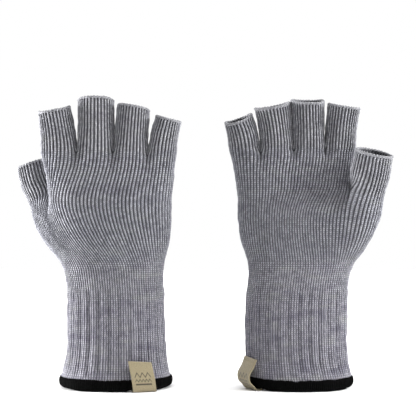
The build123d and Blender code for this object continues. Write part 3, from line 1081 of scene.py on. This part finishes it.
def make_label(name, spec, materials, origin):
    """A woven tab folded under the hem, and the stitches that hold its upper end."""
    points, facing, length = label_surface(spec)
    rows, columns = points.shape[:2]
    edge = np.abs(np.linspace(-1, 1, columns))
    half = 0.26 + 0.06 * (edge > 0.93)
    front = points + facing * half[None, :, None]
    back = points - facing * half[None, :, None]
    shape = np.concatenate([front.reshape(-1, 3), back.reshape(-1, 3)])
    faces = []
    uv = []
    size = rows * columns
    number = np.arange(size).reshape(rows, columns)

    def place(i, j):
        return (j / (columns - 1) * LABEL_WIDTH, i / (rows - 1) * length)

    def quad(cells, layers):
        faces.append([int(number[i, j]) + size * layer for (i, j), layer in zip(cells, layers)])
        uv.append([place(i, j) for i, j in cells])

    for i in range(rows - 1):
        for j in range(columns - 1):
            quad([(i, j), (i, j + 1), (i + 1, j + 1), (i + 1, j)], (0, 0, 0, 0))
            quad([(i, j), (i + 1, j), (i + 1, j + 1), (i, j + 1)], (1, 1, 1, 1))
        quad([(i, 0), (i + 1, 0), (i + 1, 0), (i, 0)], (0, 0, 1, 1))
        last = columns - 1
        quad([(i, last), (i, last), (i + 1, last), (i + 1, last)], (0, 1, 1, 0))
    for j in range(columns - 1):
        quad([(0, j), (0, j), (0, j + 1), (0, j + 1)], (0, 1, 1, 0))
        last = rows - 1
        quad([(last, j), (last, j + 1), (last, j + 1), (last, j)], (0, 0, 1, 1))
    label = make_mesh(f"{name}_label_tab", to_frame(shape, origin, spec["turn"]), faces, uv)
    label.data.flip_normals()
    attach(label, f"{name}_wrist")
    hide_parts(f"{name}_label")
    dress(label, materials, "woven_label")

    # Short stitches in a row across the label, a little below its end
    row = rows - 5
    shapes = []
    stitch_faces = []
    stitch_uv = []
    for k in range(LABEL_STITCHES):
        middle = (k + 0.5) / LABEL_STITCHES * (columns - 1)
        spots = np.linspace(middle - 0.9, middle + 0.9, 7)
        line = np.column_stack([np.interp(spots, range(columns), axis) for axis in front[row].T])
        bow = np.sin(np.linspace(0, math.pi, 7))[:, None]
        line = line + facing[row, 0] * (0.16 * bow - 0.05)
        size_along = 0.02 + 0.23 * bow
        outward = np.repeat(facing[row, :1], len(line), 0)
        tubes, tube_faces, tube_uv = tube(line, (size_along, size_along), 8, outward, False)
        start = sum(len(part) for part in shapes)
        shapes.append(tubes)
        stitch_faces += [tuple(n + start for n in face) for face in tube_faces]
        stitch_uv.append(tube_uv)
    stitch_points = to_frame(np.concatenate(shapes), origin, spec["turn"])
    stitch_uv = np.concatenate(stitch_uv)
    thread = make_mesh(f"{name}_label_thread", stitch_points, stitch_faces, stitch_uv)
    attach(thread, f"{name}_wrist")
    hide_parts(f"{name}_label_stitching")
    dress(thread, materials, "label_thread")


# ---- stage


def make_stage():
    """A white floor; past its edge the room itself is seen as white."""
    left, right, front, back = -1.4, 1.4, -1.3, 1.5
    corners = [(left, front, 0), (right, front, 0), (right, back, 0), (left, back, 0)]
    floor = make_mesh("floor", corners, [(0, 1, 2, 3)])
    material, tree, shader = new_material("pale_floor")
    values = {"Base Color": (0.95, 0.95, 0.95, 1), "Roughness": 0.8, "Specular IOR Level": 0.1}
    for socket, value in values.items():
        shader.inputs[socket].default_value = value
    floor.data.materials.append(material)


def area_light(name, place, target, size, power):
    """A soft square light."""
    light = bpy.data.lights.new(name, "AREA")
    light.size = size
    light.energy = power
    obj = bpy.data.objects.new(name, light)
    obj.location = place
    direction = np.subtract(target, place)
    obj.rotation_euler = (
        math.acos(-direction[2] / np.linalg.norm(direction)),
        0,
        math.atan2(direction[1], direction[0]) - math.pi / 2,
    )
    bpy.context.scene.collection.objects.link(obj)


def make_lights(middle):
    """Soft boxes at the sides, two at the back and a wide one overhead, in a dim white room."""
    area_light("right", (1.15, -0.27, 0.6), middle, 0.5, 26)
    area_light("left", (-1.25, 0.14, 0.14), middle, 0.4, 68)
    area_light("front", (0.35, -1.6, 0.9), middle, 0.8, 3)
    area_light("overhead", (0.0, 0.3, 2.4), (0, 0.3, 0), 2.6, 70)
    area_light("back_right", (1.0, 1.3, 0.6), middle, 1.0, 12)
    area_light("back_left", (-1.0, 1.3, 0.6), middle, 1.0, 12)
    world = bpy.data.worlds.new("studio")
    world.use_nodes = True
    tree = world.node_tree
    background = tree.nodes["Background"]
    background.inputs[0].default_value = (1, 1, 1, 1)
    seen = tree.nodes.new("ShaderNodeLightPath").outputs["Is Camera Ray"]
    strength = maths(tree, "MULTIPLY_ADD", seen, SKY_SEEN - SKY_LIGHT, SKY_LIGHT)
    tree.links.new(strength, background.inputs[1])
    bpy.context.scene.world = world
    bpy.context.scene.view_settings.view_transform = "Standard"


def make_camera(middle_x):
    """Level with the palms, straight in front of the pair."""
    distance = 0.8
    view_width = 0.2995
    camera = bpy.data.cameras.new("camera")
    camera.sensor_width = 36
    camera.lens = 36 * distance / view_width
    obj = bpy.data.objects.new("camera", camera)
    obj.location = (middle_x, -distance, 0.1284)
    obj.rotation_euler = (math.pi / 2, 0, 0)
    bpy.context.scene.collection.objects.link(obj)
    bpy.context.scene.camera = obj


# ---- the pair

# Each knit: light and dark yarn tones, where across a wale the groove darkening (dark yarn and painted
# shade) starts and ends, the strength of the painted shade in the stitch gaps, and the strength of the
# colour streaks.
materials = {
    "finger_knit": knit_material(
        "finger_knit", (0.42, 0.422, 0.452), (0.138, 0.139, 0.153), (0.12, 0.8), 0.4, 0.45
    ),
    "hand_knit": knit_material(
        "hand_knit", (0.405, 0.41, 0.45), (0.122, 0.124, 0.146), (0.18, 0.9), 0.75, 0.5
    ),
    "transition_knit": knit_material(
        "transition_knit", (0.435, 0.432, 0.477), (0.132, 0.131, 0.154), (0.25, 1.0), 0.95, 0.85
    ),
    "rib_knit": knit_material(
        "rib_knit", (0.45, 0.44, 0.497), (0.132, 0.128, 0.158), (0.25, 1.0), 0.95, 1.0
    ),
    "cast_off_edge": thread_material("cast_off_edge", (0.3, 0.3, 0.32), (0.1, 0.1, 0.11), 0.3),
    "woven_label": label_material("woven_label"),
    "label_thread": thread_material("label_thread", (0.34, 0.29, 0.18), (0.16, 0.13, 0.075), 0.2),
    "elastic_yarn": thread_material("elastic_yarn", (0.3, 0.3, 0.32), (0.12, 0.12, 0.13), 0.3),
    "black_overlock": thread_material(
        "black_overlock", (0.0035, 0.0035, 0.0035), (0.001, 0.001, 0.001), 0.0, 0.02
    ),
}

origins = {}
for name, spec in GLOVES.items():
    low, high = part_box(f"{name}_hem")
    little, thumb, _ = level_at(spec["levels"], 0.0)
    aside = spec["turn"] * (little + thumb) / 2 * MM
    origins[name] = ((low[0] + high[0]) / 2 - aside, (low[1] + high[1]) / 2)
    outer, bare = make_fabric(name, spec, materials, origins[name])
    make_hem(name, spec, outer, bare, materials, origins[name])
    make_label(name, spec, materials, origins[name])
    make_elastic(name, spec, materials, origins[name])

middle_x = (origins["glove_1"][0] + origins["glove_2"][0]) / 2
make_stage()
make_lights((middle_x, 0.0, 0.11))
make_camera(middle_x)
